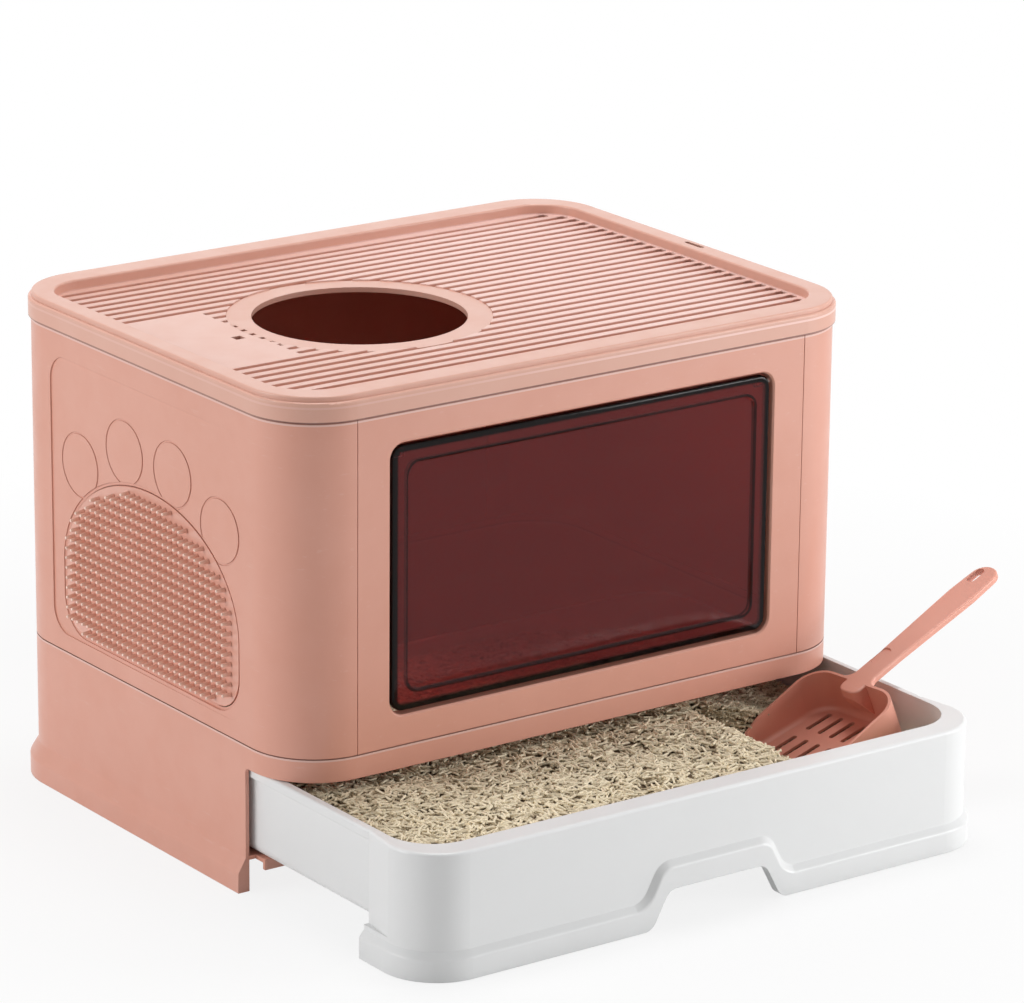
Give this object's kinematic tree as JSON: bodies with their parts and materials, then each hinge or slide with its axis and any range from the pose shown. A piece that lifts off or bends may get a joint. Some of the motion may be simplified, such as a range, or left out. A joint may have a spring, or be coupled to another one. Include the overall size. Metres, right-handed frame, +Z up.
{
  "type": "cat litter box",
  "caption": "Enclosed cat litter box with a top exit hole, tinted front flap, pull-out litter drawer, bristled grooming pad and scoop.",
  "frame": {"origin": "on the floor under the centre of the base, at the centre foot's lower face", "axes": "+X towards the right-hand side seen from the front, -Y out of the front (the way the drawer pulls out), +Z up"},
  "size_m": [0.6142, 0.5622, 0.38],
  "materials": {
    "cabin_plastic": "satin salmon-pink polypropylene",
    "pad_plastic": "satin, slightly darker pink",
    "pin_plastic": "pale gloss",
    "flap_plastic": "glossy see-through dark maroon tint",
    "drawer_plastic": "satin off-white",
    "litter": "loose dry beige pellets",
    "scoop_plastic": "semi-gloss salmon pink"
  },
  "bodies": {
    "cabin": {"base_frame": "cabin_plastic", "left_side_shell": "cabin_plastic", "right_side_shell": "cabin_plastic", "front_panel": "cabin_plastic", "rear_panel": "cabin_plastic", "grooming_pad": "pad_plastic", "left_hinge_pin": "pin_plastic", "right_hinge_pin": "pin_plastic"},
    "flap": {"flap_door": "flap_plastic"},
    "top": {"lid": "cabin_plastic"},
    "tray": {"drawer": "drawer_plastic", "litter_bed": "litter"},
    "tool": {"scoop": "scoop_plastic"}
  },
  "joints": [
    {"name": "drawer_slide", "type": "slide", "parent": "cabin", "child": "tray", "axis": [0, -1, 0], "range_m": [-0.151, 0]},
    {"name": "scoop_lift", "type": "slide", "parent": "cabin", "child": "tool", "axis": [0.25, 0, 0.9682], "range_m": [0, 0.453]},
    {"name": "flap_hinge", "type": "hinge", "parent": "cabin", "child": "flap", "pos_m": [0, -0.1896, 0.329], "axis": [1, 0, 0], "range_deg": [-75, 75]},
    {"name": "lid_lift", "type": "slide", "parent": "cabin", "child": "top", "axis": [0, 0, 1], "range_m": [0, 0.18]}
  ],
  "couplings": [
    {"joint": "scoop_lift", "follows": "drawer_slide", "ratio": -3}
  ]
}
